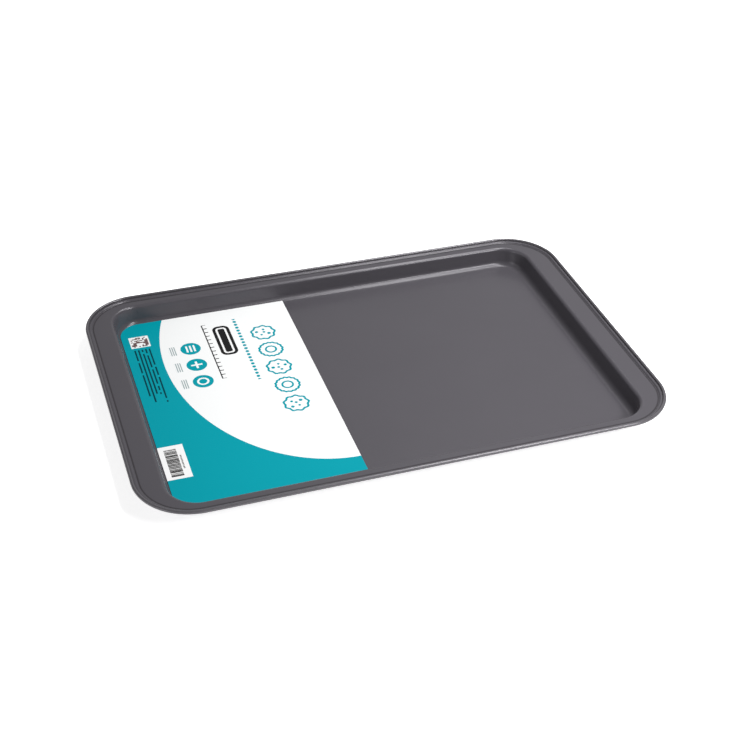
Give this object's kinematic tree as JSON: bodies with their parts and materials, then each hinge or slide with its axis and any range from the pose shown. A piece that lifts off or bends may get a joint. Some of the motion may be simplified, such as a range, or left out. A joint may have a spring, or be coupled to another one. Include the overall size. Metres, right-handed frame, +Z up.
{
  "type": "cookie sheet",
  "caption": "Shallow rectangular steel baking sheet with wide end rims, sloped walls, a stepped and curled edge, and a printed card lying in it at one end.",
  "frame": {"origin": "centre of the tray's underside, on the surface that it stands on", "axes": "+X along the tray's length, away from the end that holds the card; +Y across its width; +Z up, out of the well"},
  "size_m": [0.411, 0.279, 0.0186],
  "materials": {
    "nonstick_coating": "satin warm grey non-stick coating on steel sheet",
    "steel_wire": "drawn steel wire",
    "printed_card": "smooth printed card, white and teal",
    "adhesive": "soft removable adhesive",
    "sticker_paper": "matte white paper"
  },
  "bodies": {
    "pan": {"tray": "nonstick_coating", "rim_wire": "steel_wire"},
    "label": {"label_card": "printed_card", "glue_dot_1": "adhesive", "glue_dot_2": "adhesive", "glue_dot_3": "adhesive", "glue_dot_4": "adhesive", "barcode_sticker": "sticker_paper"}
  },
  "joints": [
    {"name": "label_lift", "type": "slide", "parent": "pan", "child": "label", "axis": [0, 0, 1], "range_m": [0, 0.06]}
  ]
}
